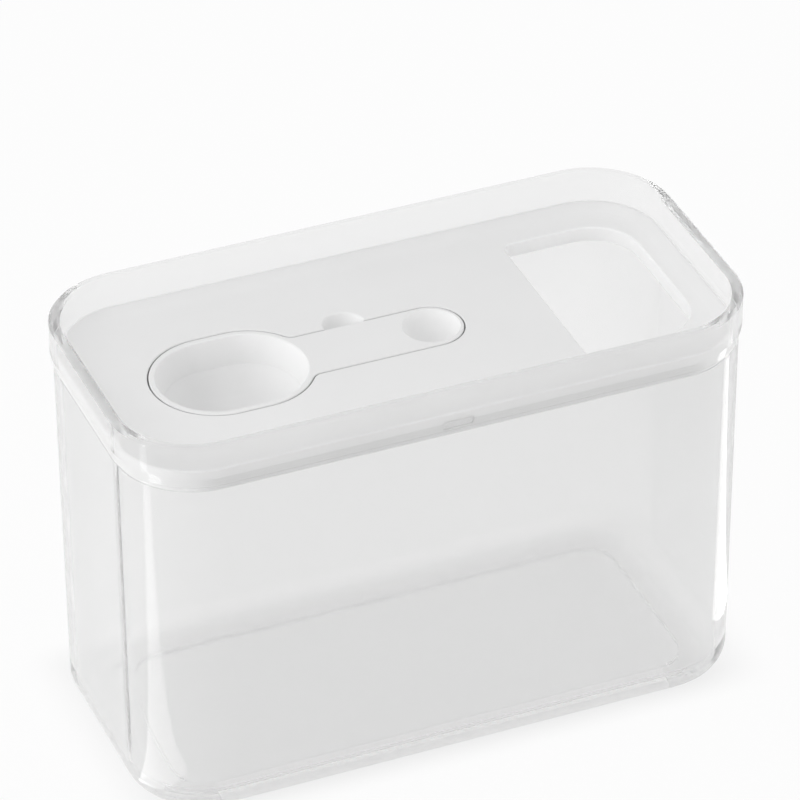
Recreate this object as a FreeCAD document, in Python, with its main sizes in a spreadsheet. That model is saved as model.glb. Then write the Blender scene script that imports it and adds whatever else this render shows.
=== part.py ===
"""Clear food storage tub with a drop-in pour insert and a measuring scoop parked in the insert.

Frame: millimetres, +Z up, origin at the middle of the standing face, +X along the tub towards the
pour opening, +Y towards the finger notch. Heights called "z" are measured from the standing face.
"""

import FreeCAD
import Part
import Sketcher

import math
import os

QUARTER = math.pi / 2

DIMENSIONS = {
    # Tub: outside of the rim, walls and floor
    "tub_length": 210.0,
    "tub_width": 104.0,
    "tub_height": 142.0,
    "rim_corner": 27.5,
    "rim_wall": 3.6,
    "rim_bevel": 0.9,
    "rim_lead_in": 0.8,
    "collar_height": 11.0,
    "collar_flare": 4.0,
    "collar_step": 0.9,
    "wall_draft": 0.4,
    "floor_thickness": 3.0,
    "floor_bevel": 4.0,
    "base_round": 8.0,
    "base_ring": 9.0,
    "base_recess": 1.5,
    # Seat that the insert drops into
    "seat_depth": 18.0,
    "seat_ledge": 0.9,
    "seat_clearance": 0.3,
    # Insert: a thin panel in a shallow dish with a skirt round it
    "skirt_height": 7.5,
    "skirt_thickness": 2.0,
    "lip_width": 1.0,
    "lip_bevel": 0.4,
    "dish_depth": 1.2,
    "dish_slope": 6.5,
    "dish_blend": 20.0,
    "panel_thickness": 2.0,
    "nib_length": 10.0,
    "nib_height": 2.4,
    "nib_proud": 0.2,
    "nib_recess": 0.6,
    # Pour opening in the insert
    "mouth_margin": 9.9,
    "mouth_length": 41.0,
    "mouth_width": 67.6,
    "mouth_outer_corner": 16.0,
    "mouth_inner_corner": 3.0,
    "mouth_collar": 5.0,
    "mouth_wall": 1.8,
    "mouth_bevel": 0.4,
    # Scoop: a pill-shaped bowl, a flat handle and a round thumb dimple
    "bowl_margin": 19.5,
    "bowl_length": 52.4,
    "bowl_width": 42.6,
    "bowl_depth": 14.5,
    "bowl_wall": 1.6,
    "bowl_flange": 0.4,
    "bowl_draft": 12.0,
    "bowl_side": 9.6,
    "bowl_floor_slope": 48.0,
    "bowl_floor_blend": 12.0,
    "bowl_base_bevel": 2.5,
    "handle_width": 21.6,
    "handle_reach": 0.508,
    "handle_thickness": 2.4,
    "handle_root_round": 4.0,
    "scoop_bevel": 0.3,
    "dimple_width": 18.6,
    "dimple_depth": 5.0,
    "dimple_offset": 0.5,
    "dimple_wall": 1.2,
    # Nest that the scoop lies in
    "nest_gap": 0.45,
    "nest_wall": 1.8,
    "nest_draft": 4.0,
    "nest_floor_bevel": 2.0,
    "nest_bevel": 0.3,
    # Finger notch beside the handle
    "notch_reach": 0.392,
    "notch_width": 13.6,
    "notch_depth": 4.2,
}

doc = FreeCAD.newDocument("storage_tub")
sheet = doc.addObject("Spreadsheet::Sheet", "dims")
for row, (alias, size) in enumerate(DIMENSIONS.items(), start=1):
    sheet.set(f"A{row}", alias)
    sheet.set(f"B{row}", str(size))
    sheet.setAlias(f"B{row}", alias)
doc.recompute()

# Heights that several pieces share, as expressions of the sheet
RIM_Z = "dims.tub_height"
FLOOR_Z = "(dims.base_recess + dims.floor_thickness)"
SEAT_Z = "(dims.tub_height - dims.seat_depth)"
LIP_Z = f"({SEAT_Z} + dims.skirt_height)"
PANEL_Z = f"({LIP_Z} - dims.dish_depth)"
PANEL_UNDER_Z = f"({PANEL_Z} - dims.panel_thickness)"
INSERT_EDGE = "dims.rim_wall + dims.seat_clearance"
MOUTH_X = f"(dims.tub_length / 2 - ({INSERT_EDGE}) - dims.mouth_margin - dims.mouth_length / 2)"
BOWL_X = f"({INSERT_EDGE} + dims.bowl_margin + dims.bowl_length / 2 - dims.tub_length / 2)"
# The handle ends part of the way from the bowl to the opening, and the notch lies part of the way along it
BOWL_END = f"({BOWL_X} + dims.bowl_length / 2)"
HANDLE_X = f"({BOWL_END} + dims.handle_reach * ({MOUTH_X} - dims.mouth_length / 2 - {BOWL_END}))"
NOTCH_X = f"({BOWL_END} + dims.notch_reach * ({HANDLE_X} - {BOWL_END}))"
NOTCH_Y = "(dims.handle_width / 2 + dims.nest_gap)"
DIMPLE_X = f"({HANDLE_X} + dims.dimple_offset)"
NIB_Z = f"({SEAT_Z} + dims.skirt_height / 2)"
NIB_SIZE = ("dims.nib_length", "dims.nib_height")
NIB_HOLE = ("dims.nib_length + 2 * dims.nib_recess", "dims.nib_height + 2 * dims.nib_recess")
HANDLE_LENGTH = f"({HANDLE_X} - {BOWL_X} + dims.handle_width / 2)"
HANDLE_MIDDLE = f"(({HANDLE_X} + dims.handle_width / 2 + {BOWL_X}) / 2)"


def number(expression):
    """Value of an expression of the sheet, in millimetres or degrees."""
    return float(sheet.evalExpression(expression))


def new_body(label):
    """An empty body whose label names its file."""
    body = doc.addObject("PartDesign::Body", label)
    body.Label = label
    return body


def new_sketch(body, name, z="0", x="0", y="0", plane="XY_Plane"):
    """A sketch on one of the body's own planes, moved by expressions of the sheet."""
    sketch = body.newObject("Sketcher::SketchObject", name)
    origin_plane = next(f for f in body.Origin.OriginFeatures if f.Role == plane)
    sketch.AttachmentSupport = [(origin_plane, "")]
    sketch.MapMode = "FlatFace"
    for axis, expression in (("x", x), ("y", y), ("z", z)):
        sketch.setExpression(f"AttachmentOffset.Base.{axis}", expression)
    return sketch


def dimension(sketch, name, expression, *constraint):
    """Adds a driving constraint and binds it to the sheet."""
    index = sketch.addConstraint(Sketcher.Constraint(*constraint, number(expression)))
    sketch.renameConstraint(index, name)
    sketch.setExpression(f"Constraints.{name}", expression)


def chain_tangent(sketch, count):
    """Joins each curve of a closed chain to the next one, end to start and tangent."""
    for i in range(count):
        sketch.addConstraint(Sketcher.Constraint("Tangent", i, 2, (i + 1) % count, 1))


def arc_between(x, y, radius, start, stop):
    """Part of a circle about (x, y), anticlockwise between two angles in radians."""
    circle = Part.Circle(FreeCAD.Vector(x, y, 0), FreeCAD.Vector(0, 0, 1), radius)
    return Part.ArcOfCircle(circle, start, stop)


def corner_arc(x, y, radius, start):
    """A quarter circle about (x, y) that begins at the angle start, in quarter turns."""
    return arc_between(x, y, radius, start * QUARTER, (start + 1) * QUARTER)


def segment(x0, y0, x1, y1):
    """A straight sketch line."""
    return Part.LineSegment(FreeCAD.Vector(x0, y0, 0), FreeCAD.Vector(x1, y1, 0))


def rounded_rectangle(body, name, length, width, corner, z="0", x="0", left_corner=None):
    """A centred rectangle with round corners; the two corners at -X may have their own radius."""
    sketch = new_sketch(body, name, z, x)
    a, b, r = number(length) / 2, number(width) / 2, number(corner)
    q = number(left_corner) if left_corner else r
    curves = [
        segment(q - a, -b, a - r, -b),
        corner_arc(a - r, r - b, r, 3),
        segment(a, r - b, a, b - r),
        corner_arc(a - r, b - r, r, 0),
        segment(a - r, b, q - a, b),
        corner_arc(q - a, b - q, q, 1),
        segment(-a, b - q, -a, q - b),
        corner_arc(q - a, q - b, q, 2),
    ]
    sketch.addGeometry(curves, False)
    chain_tangent(sketch, len(curves))
    for line, direction in ((0, "Horizontal"), (4, "Horizontal"), (6, "Vertical")):
        sketch.addConstraint(Sketcher.Constraint(direction, line))
    sketch.addConstraint(Sketcher.Constraint("Equal", 1, 3))
    sketch.addConstraint(Sketcher.Constraint("Equal", 5, 7))
    sketch.addConstraint(Sketcher.Constraint("Symmetric", 2, 1, 2, 2, -1))
    dimension(sketch, "length", length, "DistanceX", 6, 1, 2, 1)
    dimension(sketch, "width", width, "DistanceY", 0, 1, 4, 1)
    dimension(sketch, "corner", corner, "Radius", 1)
    dimension(sketch, "left_corner", left_corner or corner, "Radius", 5)
    dimension(sketch, "half", f"({length}) / 2", "DistanceX", -1, 1, 2, 1)
    return sketch


def slot(body, name, length, width, x, z, y="0", plane="XY_Plane"):
    """A pill along X, centred at (x, y) of its plane."""
    sketch = new_sketch(body, name, z, x, y, plane)
    r = number(width) / 2
    c = number(length) / 2 - r
    curves = [
        segment(-c, -r, c, -r),
        arc_between(c, 0, r, -QUARTER, QUARTER),
        segment(c, r, -c, r),
        arc_between(-c, 0, r, QUARTER, 3 * QUARTER),
    ]
    sketch.addGeometry(curves, False)
    chain_tangent(sketch, len(curves))
    sketch.addConstraint(Sketcher.Constraint("Equal", 1, 3))
    sketch.addConstraint(Sketcher.Constraint("Symmetric", 1, 3, 3, 3, -1, 1))
    sketch.addConstraint(Sketcher.Constraint("Horizontal", 0))
    dimension(sketch, "radius", f"({width}) / 2", "Radius", 1)
    dimension(sketch, "centres", f"({length}) - ({width})", "DistanceX", 3, 3, 1, 3)
    return sketch


def scoop_outline(body, name, grow, z):
    """The scoop seen from above, bowl and handle with a rounded neck, made larger all round by grow."""
    sketch = new_sketch(body, name, z)
    spread = "(dims.bowl_length - dims.bowl_width) / 2"
    left = number(f"{BOWL_X} - {spread}")
    right = number(f"{BOWL_X} + {spread}")
    end = number(HANDLE_X)
    r = number(f"dims.bowl_width / 2 + {grow}")
    w = number(f"dims.handle_width / 2 + {grow}")
    n = number(f"dims.handle_root_round - {grow}")
    reach = ((r + n) ** 2 - (w + n) ** 2) ** 0.5
    neck = right + reach
    turn = math.atan2(w + n, reach)
    curves = [
        segment(left, -r, right, -r),
        arc_between(right, 0, r, -QUARTER, -turn),
        arc_between(neck, -w - n, n, QUARTER, 2 * QUARTER - turn),
        segment(neck, -w, end, -w),
        arc_between(end, 0, w, -QUARTER, QUARTER),
        segment(end, w, neck, w),
        arc_between(neck, w + n, n, 2 * QUARTER + turn, 3 * QUARTER),
        arc_between(right, 0, r, turn, QUARTER),
        segment(right, r, left, r),
        arc_between(left, 0, r, QUARTER, 3 * QUARTER),
    ]
    sketch.addGeometry(curves, False)
    joins = ((0, 2, 1, 1), (1, 2, 2, 2), (2, 1, 3, 1), (3, 2, 4, 1), (4, 2, 5, 1))
    joins += ((5, 2, 6, 2), (6, 1, 7, 1), (7, 2, 8, 1), (8, 2, 9, 1), (9, 2, 0, 1))
    for join in joins:
        sketch.addConstraint(Sketcher.Constraint("Tangent", *join))
    for arc in (1, 4, 9):
        sketch.addConstraint(Sketcher.Constraint("PointOnObject", arc, 3, -1))
    sketch.addConstraint(Sketcher.Constraint("Coincident", 7, 3, 1, 3))
    for first, second in ((1, 7), (1, 9), (2, 6)):
        sketch.addConstraint(Sketcher.Constraint("Equal", first, second))
    for line in (3, 5):
        sketch.addConstraint(Sketcher.Constraint("Horizontal", line))
    dimension(sketch, "bowl_radius", f"dims.bowl_width / 2 + {grow}", "Radius", 1)
    dimension(sketch, "handle_half", f"dims.handle_width / 2 + {grow}", "Radius", 4)
    dimension(sketch, "neck_radius", f"dims.handle_root_round - {grow}", "Radius", 2)
    dimension(sketch, "bowl_centres", "dims.bowl_length - dims.bowl_width", "DistanceX", 9, 3, 1, 3)
    dimension(sketch, "bowl_place", f"0 - {BOWL_X} - {spread}", "DistanceX", 1, 3, -1, 1)
    dimension(sketch, "handle_place", f"{HANDLE_X} - {BOWL_X} - {spread}", "DistanceX", 1, 3, 4, 3)
    return sketch


def disc(body, name, radius, x, z, y="0"):
    """A circle centred at (x, y)."""
    sketch = new_sketch(body, name, z, x, y)
    sketch.addGeometry(Part.Circle(FreeCAD.Vector(), FreeCAD.Vector(0, 0, 1), number(radius)), False)
    sketch.addConstraint(Sketcher.Constraint("Coincident", 0, 3, -1, 1))
    dimension(sketch, "radius", radius, "Radius", 0)
    return sketch


def pad(body, name, sketch, length, down=False, taper=None):
    """Adds material over a sketch, upwards or downwards, narrowing by the taper in degrees."""
    feature = body.newObject("PartDesign::Pad", name)
    feature.Profile = sketch
    feature.Reversed = down
    feature.setExpression("Length", length)
    if taper:
        feature.setExpression("TaperAngle", f"-({taper})")
    return checked(body, feature)


def pocket(body, name, sketch, depth, up=False, taper=None):
    """Removes material under a sketch, downwards or upwards, narrowing by the taper in degrees."""
    before = body.Shape.Volume
    feature = body.newObject("PartDesign::Pocket", name)
    feature.Profile = sketch
    feature.Reversed = up
    feature.setExpression("Length", depth)
    if taper:
        feature.setExpression("TaperAngle", f"-({taper})")
    checked(body, feature)
    if feature.Shape.Volume >= before:
        raise RuntimeError(f"{name} removes nothing")
    return feature


def checked(body, feature):
    """Recomputes and stops if the feature failed."""
    doc.recompute()
    if "Invalid" in feature.State or feature.Shape.isNull() or not feature.Shape.isValid():
        raise RuntimeError(f"{body.Label}: {feature.Name} failed, {feature.State}")
    return feature


def edges_where(feature, test):
    """Names of the feature's edges whose bounding box passes the test."""
    return [f"Edge{i}" for i, e in enumerate(feature.Shape.Edges, start=1) if test(e.BoundBox)]


def level_edges(feature, z, reach=None, tolerance=0.02):
    """Names of the edges that lie at the height z and whose box passes the reach test, if there is one."""
    height = number(z)

    def at_level(box):
        near = abs(box.ZMin - height) < tolerance and abs(box.ZMax - height) < tolerance
        return near and (reach is None or reach(box))

    return edges_where(feature, at_level)


def fillet(body, name, base, edges, radius):
    """Rounds the named edges of the base feature."""
    if not edges:
        raise RuntimeError(f"{name} finds no edges")
    feature = body.newObject("PartDesign::Fillet", name)
    feature.Base = (base, edges)
    feature.setExpression("Radius", radius)
    return checked(body, feature)


def bevel(body, name, base, edges, size):
    """Breaks the named edges of the base feature with a narrow flat."""
    if not edges:
        raise RuntimeError(f"{name} finds no edges")
    feature = body.newObject("PartDesign::Chamfer", name)
    feature.Base = (base, edges)
    feature.setExpression("Size", size)
    return checked(body, feature)


def inset(size, amount):
    """A length reduced by the same amount at both of its ends."""
    return f"({size} - 2 * ({amount}))"


def tub_outline(body, name, amount, z):
    """The tub's rim outline, moved inwards by an amount."""
    return rounded_rectangle(
        body,
        name,
        inset("dims.tub_length", amount),
        inset("dims.tub_width", amount),
        f"(dims.rim_corner - ({amount}))",
        z,
    )


def make_tub():
    """Clear tub: drafted walls, a proud collar at the rim, a ledge for the insert, a standing ring."""
    body = new_body("tub")
    wall = tub_outline(body, "wall_outline", "dims.collar_step", RIM_Z)
    walls = pad(body, "walls", wall, RIM_Z, down=True, taper="dims.wall_draft")
    walls = fillet(body, "base_edge", walls, level_edges(walls, "0"), "dims.base_round")
    collar_z = "(dims.tub_height - dims.collar_height)"
    collar = tub_outline(body, "collar_outline", "0", collar_z)
    pad(body, "collar", collar, "dims.collar_height")
    flare = tub_outline(body, "flare_outline", "0", collar_z)
    flare_angle = "atan(dims.collar_step / dims.collar_flare)"
    pad(body, "flare", flare, "dims.collar_flare", down=True, taper=flare_angle)
    cavity = tub_outline(body, "cavity_outline", "dims.rim_wall + dims.seat_ledge", RIM_Z)
    hollow = pocket(body, "cavity", cavity, f"{RIM_Z} - {FLOOR_Z}", taper="dims.wall_draft")
    hollow = bevel(body, "floor_edge", hollow, level_edges(hollow, FLOOR_Z), "dims.floor_bevel")
    seat = tub_outline(body, "seat_outline", "dims.rim_wall", RIM_Z)
    pocket(body, "seat", seat, "dims.seat_depth")
    ring = tub_outline(body, "ring_outline", "dims.base_round + dims.base_ring", "0")
    pocket(body, "base_recess_cut", ring, "dims.base_recess", up=True)
    seat_wall = "(dims.tub_width / 2 - dims.rim_wall)"
    front = slot(body, "front_nib_outline", *NIB_SIZE, "0", seat_wall, NIB_Z, "XZ_Plane")
    pad(body, "front_nib", front, "dims.nib_proud", down=True)
    back = slot(body, "back_nib_outline", *NIB_SIZE, "0", f"-{seat_wall}", NIB_Z, "XZ_Plane")
    recess = pad(body, "back_nib", back, "dims.nib_proud")
    half = number("dims.tub_length / 2 - dims.rim_wall / 2")
    half_width = number("dims.tub_width / 2 - dims.rim_wall / 2")

    def outer(box):
        return max(abs(box.XMin), abs(box.XMax)) > half or max(abs(box.YMin), abs(box.YMax)) > half_width

    rim = bevel(body, "rim_outer_edge", recess, level_edges(recess, RIM_Z, outer), "dims.rim_bevel")
    inner = level_edges(rim, RIM_Z, lambda box: not outer(box))
    inner_edges = [e for e in inner if on_outline(rim, e, "dims.rim_wall")]
    bevel(body, "rim_inner_edge", rim, inner_edges, "dims.rim_lead_in")
    return body


def on_outline(feature, edge, amount):
    """Whether an edge lies on the rim outline moved inwards by an amount."""
    point = feature.Shape.getElement(edge)
    middle = point.valueAt((point.FirstParameter + point.LastParameter) / 2)
    straight_x = number("dims.tub_length / 2 - dims.rim_corner")
    straight_y = number("dims.tub_width / 2 - dims.rim_corner")
    dx = max(abs(middle.x) - straight_x, 0)
    dy = max(abs(middle.y) - straight_y, 0)
    reach = (dx * dx + dy * dy) ** 0.5
    return abs(reach - number(f"dims.rim_corner - ({amount})")) < 0.05


def make_insert():
    """White insert: dished panel with a skirt, a nest for the scoop, a finger notch, a pour opening."""
    body = new_body("pour_insert")
    edge = INSERT_EDGE
    outline = tub_outline(body, "skirt_outline", edge, SEAT_Z)
    slab = pad(body, "slab", outline, "dims.skirt_height")
    slab = bevel(body, "lip_edge", slab, level_edges(slab, LIP_Z), "dims.lip_bevel")
    dish_top = tub_outline(body, "dish_top", f"{edge} + dims.lip_width", LIP_Z)
    dish_foot = tub_outline(body, "dish_foot", f"{edge} + dims.lip_width + dims.dish_slope", PANEL_Z)
    dish = body.newObject("PartDesign::SubtractiveLoft", "dish")
    dish.Profile = dish_top
    dish.Sections = [dish_foot]
    dish.Ruled = True
    checked(body, dish)
    dish = fillet(body, "dish_crease", dish, level_edges(dish, PANEL_Z), "dims.dish_blend")
    hollow = tub_outline(body, "under_outline", f"{edge} + dims.skirt_thickness", SEAT_Z)
    pocket(body, "under_side", hollow, f"{PANEL_UNDER_Z} - {SEAT_Z}", up=True)

    skirt = f"(dims.tub_width / 2 - {edge.replace(' + ', ' - ')})"
    front = slot(body, "front_notch_outline", *NIB_HOLE, "0", skirt, NIB_Z, "XZ_Plane")
    pocket(body, "front_notch", front, "dims.nib_recess")
    back = slot(body, "back_notch_outline", *NIB_HOLE, "0", f"-{skirt}", NIB_Z, "XZ_Plane")
    pocket(body, "back_notch", back, "dims.nib_recess", up=True)

    outer_bowl = "(dims.bowl_depth + dims.bowl_wall)"
    bowl_nest_depth = f"({outer_bowl} + dims.nest_gap)"
    bump_depth = "(dims.dimple_depth + dims.dimple_wall)"
    grown = "2 * dims.nest_gap"
    shell = "2 * dims.nest_gap + 2 * dims.nest_wall"
    low = "dims.panel_thickness"
    bowl_shell = slot(
        body,
        "nest_bowl",
        f"dims.bowl_length + {shell}",
        f"dims.bowl_width + {shell}",
        BOWL_X,
        PANEL_UNDER_Z,
    )
    nest = pad(
        body,
        "nest_bowl_wall",
        bowl_shell,
        f"{bowl_nest_depth} + dims.nest_wall - {low}",
        down=True,
        taper="dims.nest_draft",
    )
    nest_base = f"{PANEL_Z} - {bowl_nest_depth} - dims.nest_wall"
    base_bevel = "dims.nest_floor_bevel + dims.nest_wall / 2"
    bevel(body, "nest_base_edge", nest, level_edges(nest, nest_base), base_bevel)
    handle_shell = slot(
        body,
        "nest_handle",
        f"{HANDLE_LENGTH} + {shell}",
        f"dims.handle_width + {shell}",
        HANDLE_MIDDLE,
        PANEL_UNDER_Z,
    )
    handle_fall = f"dims.handle_thickness + dims.nest_wall - {low}"
    pad(body, "nest_handle_wall", handle_shell, handle_fall, down=True)
    bump_radius = "(dims.dimple_width / 2 + dims.nest_gap)"
    bump_shell = disc(body, "nest_bump", f"{bump_radius} + dims.nest_wall", DIMPLE_X, PANEL_UNDER_Z)
    bump_fall = f"{bump_depth} + dims.nest_gap + dims.nest_wall - {low}"
    pad(body, "nest_bump_wall", bump_shell, bump_fall, down=True)
    notch_half = "(dims.notch_width / 2)"
    boss = disc(body, "notch_boss", f"{notch_half} + dims.nest_wall", NOTCH_X, PANEL_Z, NOTCH_Y)
    pad(body, "notch_wall", boss, "dims.notch_depth + dims.nest_wall", down=True)
    collar = rounded_rectangle(
        body,
        "mouth_collar_outline",
        "dims.mouth_length + 2 * dims.mouth_wall",
        "dims.mouth_width + 2 * dims.mouth_wall",
        "dims.mouth_outer_corner + dims.mouth_wall",
        PANEL_UNDER_Z,
        MOUTH_X,
        "dims.mouth_inner_corner + dims.mouth_wall",
    )
    pad(body, "mouth_collar_wall", collar, f"dims.mouth_collar - {low}", down=True)

    bowl_hole = slot(
        body,
        "nest_bowl_cut",
        f"dims.bowl_length + {grown}",
        f"dims.bowl_width + {grown}",
        BOWL_X,
        PANEL_Z,
    )
    hollow = pocket(body, "nest_bowl_hollow", bowl_hole, bowl_nest_depth, taper="dims.nest_draft")
    nest_floor = f"{PANEL_Z} - {bowl_nest_depth}"
    bevel(body, "nest_floor_edge", hollow, level_edges(hollow, nest_floor), "dims.nest_floor_bevel")
    channel = scoop_outline(body, "nest_outline", "dims.nest_gap", PANEL_Z)
    pocket(body, "nest_seat", channel, "dims.handle_thickness")
    bump_hole = disc(body, "nest_bump_cut", bump_radius, DIMPLE_X, PANEL_Z)
    pocket(body, "nest_bump_hollow", bump_hole, f"{bump_depth} + dims.nest_gap")
    notch_profile = hollow_profile(body, "notch_profile", NOTCH_X, NOTCH_Y, notch_half, "dims.notch_depth")
    notch = turned_hollow(body, "finger_notch", notch_profile)
    x_low = number(f"{BOWL_X} - dims.bowl_length / 2 - dims.nest_gap") - 0.1
    x_high = number(f"{HANDLE_X} + dims.handle_width / 2 + dims.nest_gap") + 0.1
    y_reach = number("dims.bowl_width / 2 + dims.nest_gap") + 0.1

    def on_nest(box):
        return box.XMin > x_low and box.XMax < x_high and box.YMin > -y_reach and box.YMax < y_reach

    bevel(body, "nest_edge", notch, level_edges(notch, PANEL_Z, on_nest), "dims.nest_bevel")
    mouth = rounded_rectangle(
        body,
        "mouth_outline",
        "dims.mouth_length",
        "dims.mouth_width",
        "dims.mouth_outer_corner",
        LIP_Z,
        MOUTH_X,
        "dims.mouth_inner_corner",
    )
    opening = pocket(body, "pour_mouth", mouth, "dims.dish_depth + dims.mouth_collar + 1")
    mouth_low = number(f"{MOUTH_X} - dims.mouth_length / 2") - 0.1
    mouth_high = number(f"{MOUTH_X} + dims.mouth_length / 2") + 0.1
    mouth_reach = number("dims.mouth_width / 2") + 0.1

    def on_mouth(box):
        inside = box.XMin > mouth_low and box.XMax < mouth_high
        return inside and max(abs(box.YMin), abs(box.YMax)) < mouth_reach

    bevel(body, "mouth_edge", opening, level_edges(opening, PANEL_Z, on_mouth), "dims.mouth_bevel")
    return body


def hollow_profile(body, name, x, y, half_width, depth):
    """Half of a round hollow below the panel, seen from the side and closed by an arc."""
    sketch = new_sketch(body, name, f"0 - {y}", x, PANEL_Z, "XZ_Plane")
    w, d = number(half_width), number(depth)
    radius = (w * w + d * d) / (2 * d)
    low, edge = FreeCAD.Vector(0, -d, 0), FreeCAD.Vector(w, 0, 0)
    centre = FreeCAD.Vector(0, radius - d, 0)
    way = (low + edge) / 2 - centre
    arc = Part.Arc(low, centre + way * (radius / way.Length), edge)
    sketch.addGeometry([segment(w, 0, 0, 0), segment(0, 0, 0, -d), arc], False)
    for pair in ((0, 2, 1, 1), (1, 2, 2, 1), (2, 2, 0, 1), (0, 2, -1, 1)):
        sketch.addConstraint(Sketcher.Constraint("Coincident", *pair))
    sketch.addConstraint(Sketcher.Constraint("Horizontal", 0))
    sketch.addConstraint(Sketcher.Constraint("Vertical", 1))
    sketch.addConstraint(Sketcher.Constraint("PointOnObject", 2, 3, -2))
    dimension(sketch, "half_width", half_width, "DistanceX", -1, 1, 0, 1)
    dimension(sketch, "depth", depth, "DistanceY", 1, 2, -1, 1)
    return sketch


def turned_hollow(body, name, profile):
    """Turns a profile about its own upright axis and removes what it sweeps."""
    feature = body.newObject("PartDesign::Groove", name)
    feature.Profile = profile
    feature.ReferenceAxis = (profile, ["V_Axis"])
    feature.Angle = 360
    checked(body, feature)
    return feature


def make_scoop():
    """White scoop: pill bowl with a creased floor, flat handle, round thumb dimple."""
    body = new_body("measuring_scoop")
    plate = scoop_outline(body, "plate_outline", "0", PANEL_Z)
    pad(body, "plate", plate, "dims.handle_thickness", down=True)

    side_inset = "2 * dims.bowl_flange"
    shell = slot(
        body,
        "shell_outline",
        f"dims.bowl_length - {side_inset}",
        f"dims.bowl_width - {side_inset}",
        BOWL_X,
        PANEL_Z,
    )
    pad(body, "shell_side", shell, "dims.bowl_side", down=True, taper="dims.bowl_draft")
    crease_z = f"({PANEL_Z} - dims.bowl_side)"
    drawn_in = "(2 * dims.bowl_side * tan(dims.bowl_draft))"
    under = slot(
        body,
        "shell_floor_outline",
        f"dims.bowl_length - {side_inset} - {drawn_in}",
        f"dims.bowl_width - {side_inset} - {drawn_in}",
        BOWL_X,
        crease_z,
    )
    fall = "(dims.bowl_depth + dims.bowl_wall - dims.bowl_side)"
    floor_taper = "dims.bowl_floor_slope - dims.bowl_draft"
    floor = pad(body, "shell_floor", under, fall, down=True, taper=floor_taper)
    shell_base = f"{PANEL_Z} - dims.bowl_depth - dims.bowl_wall"
    bevel(body, "shell_base_edge", floor, level_edges(floor, shell_base), "dims.bowl_base_bevel")

    rim_inset = "2 * (dims.bowl_flange + dims.bowl_wall)"
    cavity = slot(
        body,
        "cavity_outline",
        f"dims.bowl_length - {rim_inset}",
        f"dims.bowl_width - {rim_inset}",
        BOWL_X,
        PANEL_Z,
    )
    pocket(body, "cavity_side", cavity, "dims.bowl_side", taper="dims.bowl_draft")
    dished = slot(
        body,
        "cavity_floor_outline",
        f"dims.bowl_length - {rim_inset} - {drawn_in}",
        f"dims.bowl_width - {rim_inset} - {drawn_in}",
        BOWL_X,
        crease_z,
    )
    dish_fall = "dims.bowl_depth - dims.bowl_side"
    bowl = pocket(body, "cavity_floor", dished, dish_fall, taper="dims.bowl_floor_slope")
    bowl_floor = f"{PANEL_Z} - dims.bowl_depth"
    bowl = fillet(body, "cavity_blend", bowl, level_edges(bowl, bowl_floor), "dims.bowl_floor_blend")

    bevel(body, "top_edges", bowl, level_edges(bowl, PANEL_Z), "dims.scoop_bevel")

    half = "(dims.dimple_width / 2)"
    bump = disc(body, "bump_outline", half, DIMPLE_X, PANEL_Z)
    pad(body, "bump", bump, "dims.dimple_depth + dims.dimple_wall", down=True)
    hollow = hollow_profile(body, "dimple_profile", DIMPLE_X, "0", half, "dims.dimple_depth")
    turned_hollow(body, "dimple", hollow)
    return body


bodies = [make_tub(), make_insert(), make_scoop()]
doc.recompute()
for item in doc.Objects:
    if "Invalid" in item.State or "Error" in item.State:
        raise RuntimeError(f"{item.Name} is {item.State}")
os.makedirs("parts", exist_ok=True)
for body in bodies:
    if body.Shape.isNull() or not body.Shape.isValid() or len(body.Shape.Solids) != 1:
        raise RuntimeError(f"{body.Label} is not one valid solid")
    body.Shape.exportStep(f"parts/{body.Label}.step")
    print(body.Label, round(body.Shape.Volume), body.Shape.BoundBox)
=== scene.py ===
"""Dresses and lights a clear food storage tub with its pour insert and measuring scoop.

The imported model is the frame: its nodes keep their shape and place. This script gives each of them the
finish of the real moulding, stands them in a bright soft studio and sets up the camera.
"""

import logging
import math
from dataclasses import dataclass
from enum import Enum

import bpy
from bpy.types import Material, NodeSocket, NodeTree
from mathutils import Matrix, Vector


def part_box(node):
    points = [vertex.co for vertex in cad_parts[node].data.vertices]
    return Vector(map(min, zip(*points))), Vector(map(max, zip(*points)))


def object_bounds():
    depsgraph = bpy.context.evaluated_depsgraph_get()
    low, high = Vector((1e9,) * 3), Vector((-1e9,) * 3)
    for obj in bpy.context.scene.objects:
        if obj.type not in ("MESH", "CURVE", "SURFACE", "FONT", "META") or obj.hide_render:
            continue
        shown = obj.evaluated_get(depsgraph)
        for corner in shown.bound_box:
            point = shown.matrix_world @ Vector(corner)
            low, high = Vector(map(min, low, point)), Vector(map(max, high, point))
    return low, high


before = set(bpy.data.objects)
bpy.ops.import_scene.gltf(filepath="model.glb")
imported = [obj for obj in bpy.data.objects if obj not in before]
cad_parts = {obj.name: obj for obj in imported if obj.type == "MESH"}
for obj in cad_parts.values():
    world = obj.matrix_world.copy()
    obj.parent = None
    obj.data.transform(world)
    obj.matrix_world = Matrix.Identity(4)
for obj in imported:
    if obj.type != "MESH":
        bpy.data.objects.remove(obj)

LOG = logging.getLogger("storage_tub")
CAD_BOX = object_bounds()
MILLIMETRE = 0.001

# Sockets of the Mix node when it mixes colours
MIX_FIRST = 6
MIX_SECOND = 7
MIX_RESULT = 2


class Node(Enum):
    """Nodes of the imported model."""

    TUB = "tub"
    INSERT = "pour_insert"
    SCOOP = "measuring_scoop"


class Space(Enum):
    """Coordinate outputs of the Texture Coordinate node."""

    OBJECT = "Object"
    GENERATED = "Generated"


class Reach(Enum):
    """What a studio light acts on."""

    ALL = "everything"
    MATT = "matt surfaces only"
    MIRROR = "mirror images only"


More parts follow.
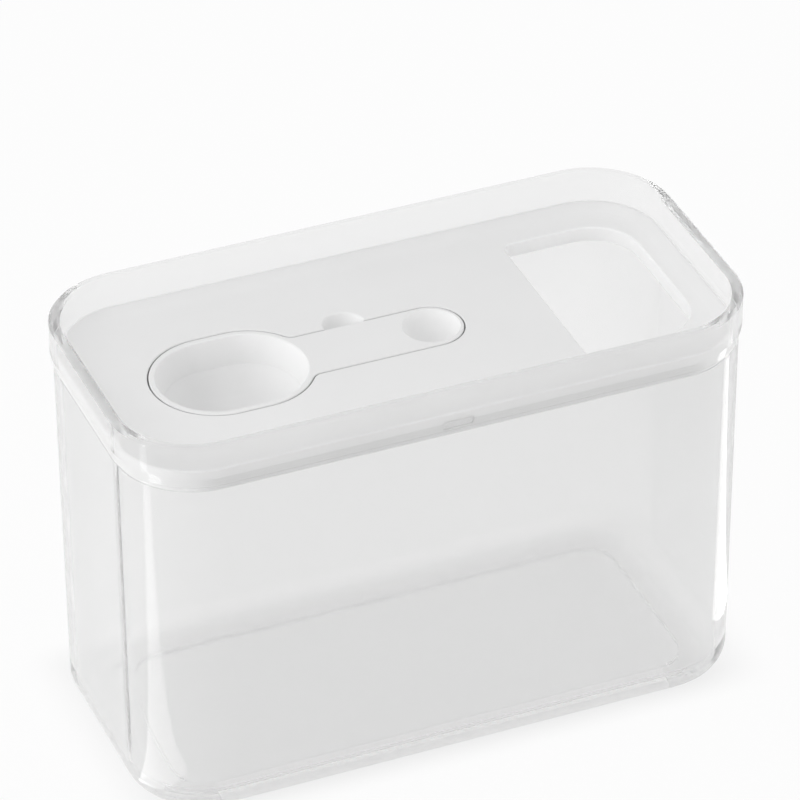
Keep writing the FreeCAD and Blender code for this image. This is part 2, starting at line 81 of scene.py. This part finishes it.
def to_linear(code: str) -> tuple[float, float, float, float]:
    """Turns an sRGB hex code into linear colour.

    Args:
        code: Six hex digits with a leading hash.

    Returns:
        Linear red, green and blue, with alpha 1.
    """
    channels = [int(code[i:i + 2], 16) / 255 for i in (1, 3, 5)]
    linear = [c / 12.92 if c <= 0.04045 else ((c + 0.055) / 1.055) ** 2.4 for c in channels]
    return (*linear, 1.0)


def per_metre(size_mm: float) -> float:
    """Scale of a noise pattern whose features are about size_mm wide."""
    return 1 / (size_mm * MILLIMETRE)


def add_node(tree: NodeTree, kind: str, links: dict | None = None, **settings) -> bpy.types.Node:
    """Adds a shader node, sets its properties and sockets and links its inputs.

    Args:
        tree: The node tree that takes the node.
        kind: The node's type name.
        links: Input name or index to the output socket that feeds it.
        settings: Properties of the node, or values of its inputs under "inputs".

    Returns:
        The new node.
    """
    node = tree.nodes.new(kind)
    values = settings.pop("inputs", {})
    for name, value in settings.items():
        setattr(node, name, value)
    for name, value in values.items():
        node.inputs[name].default_value = value
    for name, source in (links or {}).items():
        tree.links.new(source, node.inputs[name])
    return node


def fresh_tree(name: str) -> tuple[Material, NodeTree]:
    """Makes an empty node material.

    Args:
        name: The material's name.

    Returns:
        The material and its node tree.
    """
    material = bpy.data.materials.new(name)
    material.use_nodes = True
    material.node_tree.nodes.clear()
    return material, material.node_tree


@dataclass(frozen=True)
class ClearMoulding:
    """Clear copolyester from a polished mould, seen in very soft light.

    The eye sees a pale grey, slightly milky wall that gets denser where it is looked at edge-on, soft light
    lines along the rounded edges, a slow waviness where the melt flowed and a thin haze of handling marks.
    Rays that have bounced many times take a painted pale glow, an emission, in place of the dark they would
    find, so the rim glows though it is no lamp. The refraction is set below that of the plastic, because at
    the full value the rim shows black lines that such soft light doesn't give.
    """

    name: str = "clear_copolyester_polished_moulding"
    tint: str = "#F9F9F9"
    refraction: float = 1.18
    veil: str = "#F2F2F2"
    veil_refraction: float = 1.5
    veil_face: float = 0.06
    veil_edge: float = 0.30
    edge_blend: float = 0.25
    roughness: float = 0.08
    haze: float = 0.05
    haze_mm: float = 18.0
    haze_from: float = 0.35
    haze_to: float = 0.75
    flow_mm: float = 60.0
    flow_depth_mm: float = 0.02
    flow_strength: float = 0.6
    # Painted light: rays deeper than this take a pale emission in place of the dark they would find
    painted_glow_depth: float = 5.5
    painted_glow_strength: float = 0.74

    def build(self) -> Material:
        """Builds the material.

        Returns:
            The finished material.
        """
        material, tree = fresh_tree(self.name)
        place = add_node(tree, "ShaderNodeTexCoord").outputs[Space.OBJECT.value]
        surface = {"Roughness": self.hazy_roughness(tree, place), "Normal": self.flow_normal(tree, place)}
        clear = add_node(
            tree, "ShaderNodeBsdfGlass", surface,
            inputs={"Color": to_linear(self.tint), "IOR": self.refraction},
        )
        milky = add_node(
            tree, "ShaderNodeBsdfPrincipled", surface,
            inputs={"Base Color": to_linear(self.veil), "IOR": self.veil_refraction},
        )
        facing = add_node(
            tree, "ShaderNodeLayerWeight", {"Normal": surface["Normal"]}, inputs={"Blend": self.edge_blend}
        )
        share = add_node(
            tree, "ShaderNodeMapRange", {"Value": facing.outputs["Facing"]},
            inputs={"To Min": self.veil_face, "To Max": self.veil_edge},
        )
        body = add_node(
            tree, "ShaderNodeMixShader",
            {0: share.outputs["Result"], 1: clear.outputs["BSDF"], 2: milky.outputs["BSDF"]},
        )
        # Painted light: past the bounce depth a pale emission stands in for the dark, so the rim glows
        path = add_node(tree, "ShaderNodeLightPath")
        deep_ray = add_node(
            tree, "ShaderNodeMath", {0: path.outputs["Ray Depth"]}, operation="GREATER_THAN",
            inputs={1: self.painted_glow_depth},
        )
        glow = add_node(
            tree, "ShaderNodeEmission",
            inputs={"Color": to_linear(self.veil), "Strength": self.painted_glow_strength},
        )
        lit = add_node(
            tree, "ShaderNodeMixShader",
            {0: deep_ray.outputs[0], 1: body.outputs["Shader"], 2: glow.outputs["Emission"]},
        )
        add_node(tree, "ShaderNodeOutputMaterial", {"Surface": lit.outputs["Shader"]})
        return material

    def hazy_roughness(self, tree: NodeTree, place: NodeSocket) -> NodeSocket:
        """Adds nodes for the haze of handling marks.

        Args:
            tree: The node tree.
            place: Coordinates in metres.

        Returns:
            The roughness.
        """
        haze = add_node(
            tree, "ShaderNodeTexNoise", {"Vector": place},
            inputs={"Scale": per_metre(self.haze_mm), "Detail": 4.0, "Roughness": 0.6},
        )
        rough = add_node(
            tree, "ShaderNodeMapRange", {"Value": haze.outputs["Fac"]},
            inputs={
                "From Min": self.haze_from,
                "From Max": self.haze_to,
                "To Min": self.roughness,
                "To Max": self.roughness + self.haze,
            },
        )
        return rough.outputs["Result"]

    def flow_normal(self, tree: NodeTree, place: NodeSocket) -> NodeSocket:
        """Adds nodes for the slow waviness of the melt's flow.

        Args:
            tree: The node tree.
            place: Coordinates in metres.

        Returns:
            The surface normal.
        """
        flow = add_node(
            tree, "ShaderNodeTexNoise", {"Vector": place},
            inputs={"Scale": per_metre(self.flow_mm), "Detail": 1.0},
        )
        wave = add_node(
            tree, "ShaderNodeBump", {"Height": flow.outputs["Fac"]},
            inputs={"Strength": self.flow_strength, "Distance": self.flow_depth_mm * MILLIMETRE},
        )
        return wave.outputs["Normal"]


@dataclass(frozen=True)
class SkirtShade:
    """Painted shade: a fixed grey tone on the long outer faces of the insert's skirt.

    The eye sees a grey band under the insert's bright edge, where little light gets in between skirt and
    wall. The tone is laid on by position, so it stays on the skirt when the insert is lifted. It sets in
    over a short way inwards from the skirt's face and down from its lip, which are given in metres.
    """

    face: float
    lip: float
    inside_mm: float = 1.2
    outside_mm: float = 0.1
    below_mm: float = 3.3
    above_mm: float = 2.9
    depth: float = 0.88

    def apply(self, tree: NodeTree, place: NodeSocket, paint: NodeSocket) -> NodeSocket:
        """Lays the painted shade on the skirt's long faces.

        Args:
            tree: The node tree.
            place: Coordinates in metres.
            paint: The colour elsewhere.

        Returns:
            The colour with the shaded skirt.
        """
        axes = add_node(tree, "ShaderNodeSeparateXYZ", {"Vector": place})
        across = add_node(tree, "ShaderNodeMath", {0: axes.outputs["Y"]}, operation="ABSOLUTE")
        outer = add_node(
            tree, "ShaderNodeMapRange", {"Value": across.outputs[0]},
            inputs={
                "From Min": self.face - self.inside_mm * MILLIMETRE,
                "From Max": self.face - self.outside_mm * MILLIMETRE,
            },
        )
        under = add_node(
            tree, "ShaderNodeMapRange", {"Value": axes.outputs["Z"], "To Min": outer.outputs["Result"]},
            inputs={
                "From Min": self.lip - self.below_mm * MILLIMETRE,
                "From Max": self.lip - self.above_mm * MILLIMETRE,
                "To Max": 0.0,
            },
        )
        # Painted shade: the colour is multiplied down to depth on the skirt's long faces
        dim = add_node(
            tree, "ShaderNodeMapRange", {"Value": under.outputs["Result"]},
            inputs={"To Min": 1.0, "To Max": self.depth},
        )
        shaded = add_node(
            tree, "ShaderNodeVectorMath", {0: paint, 1: dim.outputs["Result"]}, operation="MULTIPLY"
        )
        return shaded.outputs[0]


@dataclass(frozen=True)
class SatinMoulding:
    """White polypropylene from a lightly blasted mould.

    The eye sees a soft neutral white with a satin sheen, a fine even grain close up, and broad faint clouds
    where the melt cooled unevenly. The white also carries painted shade, a little darker in narrow gaps.
    """

    name: str
    pale: str = "#F3F3F3"
    shade: str = "#EDEDED"
    refraction: float = 1.49
    roughness: float = 0.56
    spread: float = 0.10
    sheen: float = 0.35
    cloud_mm: float = 35.0
    grain_mm: float = 0.5
    grain_depth_mm: float = 0.012
    grain_strength: float = 0.35
    # Painted shade: ambient occlusion darkens the white in gaps narrower than gap_mm
    gap_mm: float = 3.0
    gap_shade: float = 0.85
    gap_samples: int = 8

    def build(self, skirt: SkirtShade | None = None) -> Material:
        """Builds the material.

        Args:
            skirt: A tone for the skirt, on a piece that has one.

        Returns:
            The finished material.
        """
        material, tree = fresh_tree(self.name)
        place = add_node(tree, "ShaderNodeTexCoord").outputs[Space.OBJECT.value]
        paint = self.clouds_and_painted_shade(tree, place)
        # The skirt gets painted shade on top of the colour
        if skirt:
            paint = skirt.apply(tree, place, paint)
        grain = add_node(
            tree, "ShaderNodeTexNoise", {"Vector": place},
            inputs={"Scale": per_metre(self.grain_mm), "Detail": 2.0},
        )
        rough = add_node(
            tree, "ShaderNodeMapRange", {"Value": grain.outputs["Fac"]},
            inputs={
                "To Min": self.roughness - self.spread / 2,
                "To Max": self.roughness + self.spread / 2,
            },
        )
        bump = add_node(
            tree, "ShaderNodeBump", {"Height": grain.outputs["Fac"]},
            inputs={"Strength": self.grain_strength, "Distance": self.grain_depth_mm * MILLIMETRE},
        )
        shader = add_node(
            tree, "ShaderNodeBsdfPrincipled",
            {"Base Color": paint, "Roughness": rough.outputs["Result"], "Normal": bump.outputs["Normal"]},
            inputs={"IOR": self.refraction, "Specular IOR Level": self.sheen},
        )
        add_node(tree, "ShaderNodeOutputMaterial", {"Surface": shader.outputs["BSDF"]})
        return material

    def clouds_and_painted_shade(self, tree: NodeTree, place: NodeSocket) -> NodeSocket:
        """Adds nodes for the clouded white, with painted shade that makes it a little darker in narrow
        gaps.

        Args:
            tree: The node tree.
            place: Coordinates in metres.

        Returns:
            The colour.
        """
        cloud = add_node(
            tree, "ShaderNodeTexNoise", {"Vector": place},
            inputs={"Scale": per_metre(self.cloud_mm), "Detail": 3.0},
        )
        colour = add_node(
            tree, "ShaderNodeMix", {"Factor": cloud.outputs["Fac"]}, data_type="RGBA",
            inputs={MIX_FIRST: to_linear(self.shade), MIX_SECOND: to_linear(self.pale)},
        )
        # Painted shade: ambient occlusion darkens the colour in narrow gaps, where shade falls
        near = add_node(
            tree, "ShaderNodeAmbientOcclusion", samples=self.gap_samples,
            inputs={"Distance": self.gap_mm * MILLIMETRE},
        )
        dim = add_node(
            tree, "ShaderNodeMapRange", {"Value": near.outputs["AO"]}, inputs={"To Min": self.gap_shade}
        )
        clouded_and_shaded = add_node(
            tree, "ShaderNodeVectorMath", {0: colour.outputs[MIX_RESULT], 1: dim.outputs["Result"]},
            operation="MULTIPLY",
        )
        return clouded_and_shaded.outputs[0]


def dress_node(node: Node, material: Material) -> bpy.types.Object:
    """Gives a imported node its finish.

    Args:
        node: The node.
        material: The finish for all of its slots.

    Returns:
        The node's object.
    """
    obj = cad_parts[node.value]
    for slot in obj.material_slots:
        slot.material = material
    LOG.info("%s takes %s", node.value, material.name)
    return obj


@dataclass
class Tub:
    """The clear tub."""

    finish: ClearMoulding

    def dress(self) -> None:
        """Puts the clear finish on the tub, and lets light pass to what stands inside."""
        obj = dress_node(Node.TUB, self.finish.build())
        obj.visible_shadow = False


@dataclass
class PourInsert:
    """The white insert with the scoop's nest and the pour opening."""

    finish: SatinMoulding

    def dress(self) -> None:
        """Puts the satin finish on the insert, with the painted shade on its skirt."""
        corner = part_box(Node.INSERT.value)[1]
        dress_node(Node.INSERT, self.finish.build(SkirtShade(face=corner.y, lip=corner.z)))


@dataclass
class MeasuringScoop:
    """The white scoop that lies in the insert."""

    finish: SatinMoulding

    def dress(self) -> None:
        """Puts the satin finish on the scoop."""
        dress_node(Node.SCOOP, self.finish.build())


@dataclass(frozen=True)
class SoftBox:
    """A rectangular studio light, placed and aimed in metres."""

    name: str
    place: tuple[float, float, float]
    size: tuple[float, float]
    power: float
    reach: Reach = Reach.ALL
    target: tuple[float, float, float] = (0.0, 0.0, 0.1)

    def build(self) -> None:
        """Adds the light to the scene; a light for mirror images lies on the floor and faces up."""
        data = bpy.data.lights.new(self.name, "AREA")
        data.shape = "RECTANGLE"
        data.size, data.size_y = self.size
        data.energy = self.power
        lamp = bpy.data.objects.new(self.name, data)
        way = Vector(self.target) - Vector(self.place)
        if self.reach is Reach.MIRROR:
            way = Vector((0.0, 0.0, 1.0))
        turn = way.to_track_quat("-Z", "Y").to_matrix()
        lamp.matrix_world = Matrix.Translation(self.place) @ turn.to_4x4()
        lamp.visible_glossy = self.reach is not Reach.MATT
        lamp.visible_diffuse = self.reach is not Reach.MIRROR
        lamp.visible_camera = lamp.visible_transmission = self.reach is Reach.ALL
        bpy.context.scene.collection.objects.link(lamp)


@dataclass
class Studio:
    """White floor, bright surroundings, soft boxes and the camera."""

    boxes: tuple[SoftBox, ...]
    azimuth_deg: float = -22.31
    elevation_deg: float = 34.42
    roll_deg: float = -0.30
    distance: float = 1.74705
    aim: tuple[float, float, float] = (0.0, 0.0, 0.142)
    offset: tuple[float, float] = (0.00098, -0.03045)
    lens_mm: float = 252.0
    sensor_mm: float = 36.0
    clip_near: float = 0.01
    room_back: float = 0.93
    room_front: float = 0.72
    floor_half: float = 4.0
    floor_paper: str = "#CFCFCF"
    floor_glow: float = 0.95
    fibre_mm: float = 2.5
    fibre_depth_mm: float = 0.1
    fibre_strength: float = 0.1
    contact_shade: float = 0.18
    contact_from: float = 0.75
    contact_to: float = 1.1

    def build(self) -> None:
        """Builds the whole studio."""
        self.make_floor()
        self.make_room()
        for box in self.boxes:
            box.build()
        self.make_camera()

    def make_floor(self) -> None:
        """Lays the white floor, with a painted soft shadow under the tub."""
        h = self.floor_half
        mesh = bpy.data.meshes.new("studio_floor")
        mesh.from_pydata([(-h, -h, 0), (h, -h, 0), (h, h, 0), (-h, h, 0)], [], [(0, 1, 2, 3)])
        floor = bpy.data.objects.new("studio_floor", mesh)
        bpy.context.scene.collection.objects.link(floor)
        material, tree = fresh_tree("white_paper_sweep")
        place = add_node(tree, "ShaderNodeTexCoord").outputs[Space.OBJECT.value]
        fibre = add_node(
            tree, "ShaderNodeTexNoise", {"Vector": place},
            inputs={"Scale": per_metre(self.fibre_mm), "Detail": 2.0},
        )
        bump = add_node(
            tree, "ShaderNodeBump", {"Height": fibre.outputs["Fac"]},
            inputs={"Strength": self.fibre_strength, "Distance": self.fibre_depth_mm * MILLIMETRE},
        )
        paper = add_node(
            tree, "ShaderNodeBsdfDiffuse", {"Normal": bump.outputs["Normal"]},
            inputs={"Color": to_linear(self.floor_paper)},
        )
        # Painted shadow: the floor's glow is lowered under the tub's footprint
        glow = add_node(tree, "ShaderNodeEmission", {"Strength": self.contact(tree, place)})
        share = add_node(
            tree, "ShaderNodeMapRange", {"Value": self.background_ray(tree)},
            inputs={"To Max": self.floor_glow},
        )
        mix = add_node(
            tree, "ShaderNodeMixShader",
            {0: share.outputs[0], 1: paper.outputs["BSDF"], 2: glow.outputs["Emission"]},
        )
        add_node(tree, "ShaderNodeOutputMaterial", {"Surface": mix.outputs["Shader"]})
        mesh.materials.append(material)

    def contact(self, tree: NodeTree, place: NodeSocket) -> NodeSocket:
        """Adds nodes for the painted soft shadow on the paper under the tub.

        Args:
            tree: The node tree.
            place: Coordinates in metres.

        Returns:
            1 on open paper and less under the tub.
        """
        axes = add_node(tree, "ShaderNodeSeparateXYZ", {"Vector": place})
        depth = None
        for axis, half in zip("XY", CAD_BOX[1]):
            away = add_node(tree, "ShaderNodeMath", {0: axes.outputs[axis]}, operation="ABSOLUTE")
            fed = {"To Min": depth} if depth else {}
            start = {} if depth else {"To Min": self.contact_shade}
            span = {"From Min": self.contact_from * half, "From Max": self.contact_to * half}
            depth = add_node(
                tree, "ShaderNodeMapRange", {"Value": away.outputs[0], **fed},
                interpolation_type="SMOOTHSTEP", inputs={**span, "To Max": 0.0, **start},
            ).outputs["Result"]
        left = add_node(tree, "ShaderNodeMath", {1: depth}, operation="SUBTRACT", inputs={0: 1.0})
        return left.outputs[0]

    def background_ray(self, tree: NodeTree) -> NodeSocket:
        """Adds nodes that tell the rays which see the background from those which only light things.

        Args:
            tree: The node tree.

        Returns:
            1 for the camera, for mirror images and through a clear wall, 0 for the rest.
        """
        path = add_node(tree, "ShaderNodeLightPath")
        seen = path.outputs["Is Camera Ray"]
        for output in ("Is Glossy Ray", "Is Transmission Ray"):
            either = add_node(
                tree, "ShaderNodeMath", {0: seen, 1: path.outputs[output]}, operation="MAXIMUM"
            )
            seen = either.outputs[0]
        return seen

    def make_room(self) -> None:
        """Sets the surroundings: plain grey light, with a white background wherever it is seen."""
        world = bpy.data.worlds.new("studio_room")
        world.use_nodes = True
        tree = world.node_tree
        tree.nodes.clear()
        way = add_node(tree, "ShaderNodeTexCoord").outputs[Space.GENERATED.value]
        depth = add_node(tree, "ShaderNodeSeparateXYZ", {"Vector": way})
        room = add_node(
            tree, "ShaderNodeMapRange", {"Value": depth.outputs["Y"]},
            inputs={
                "From Min": -1.0,
                "From Max": 1.0,
                "To Min": self.room_front,
                "To Max": self.room_back,
            },
        )
        level = add_node(
            tree, "ShaderNodeMapRange",
            {"Value": self.background_ray(tree), "To Min": room.outputs["Result"]},
        )
        light = add_node(tree, "ShaderNodeBackground", {"Strength": level.outputs["Result"]})
        add_node(tree, "ShaderNodeOutputWorld", {"Surface": light.outputs["Background"]})
        bpy.context.scene.world = world

    def make_camera(self) -> None:
        """Places the camera where the photograph was taken from."""
        angles = (self.azimuth_deg, self.elevation_deg, self.roll_deg)
        az, el, roll = (math.radians(angle) for angle in angles)
        back = Vector((math.sin(az) * math.cos(el), -math.cos(az) * math.cos(el), math.sin(el)))
        level = Vector((math.cos(az), math.sin(az), 0))
        rise = back.cross(level)
        right = math.cos(roll) * level + math.sin(roll) * rise
        up = math.cos(roll) * rise - math.sin(roll) * level
        spot = Vector(self.aim) + right * self.offset[0] + up * self.offset[1] + back * self.distance
        data = bpy.data.cameras.new("photo_camera")
        data.lens = self.lens_mm
        data.sensor_width = self.sensor_mm
        data.clip_start = self.clip_near
        camera = bpy.data.objects.new("photo_camera", data)
        turn = Matrix((right, up, back)).transposed()
        camera.matrix_world = Matrix.Translation(spot) @ turn.to_4x4()
        bpy.context.scene.collection.objects.link(camera)
        bpy.context.scene.camera = camera


def main() -> None:
    """Dresses the three mouldings and builds the studio."""
    logging.basicConfig(level=logging.INFO)
    Tub(ClearMoulding()).dress()
    PourInsert(SatinMoulding("satin_polypropylene_insert")).dress()
    MeasuringScoop(SatinMoulding("satin_polypropylene_scoop")).dress()
    boxes = (
        SoftBox("key_left", (-1.2, -0.2, 0.55), (0.9, 0.9), 8.5, Reach.MATT),
        SoftBox("top_fill", (0.1, 0.3, 1.3), (1.2, 1.2), 0.5),
        SoftBox("right_strip", (1.0, -0.7, 0.5), (0.4, 0.9), 3.0),
        SoftBox("left_card", (-0.205, -0.045, 0.002), (0.20, 0.034), 0.12, Reach.MIRROR),
        SoftBox("right_card", (0.205, -0.030, 0.002), (0.17, 0.040), 0.07, Reach.MIRROR),
    )
    Studio(boxes).build()
    bpy.context.scene.view_settings.view_transform = "Standard"


if __name__ == "__main__":
    main()
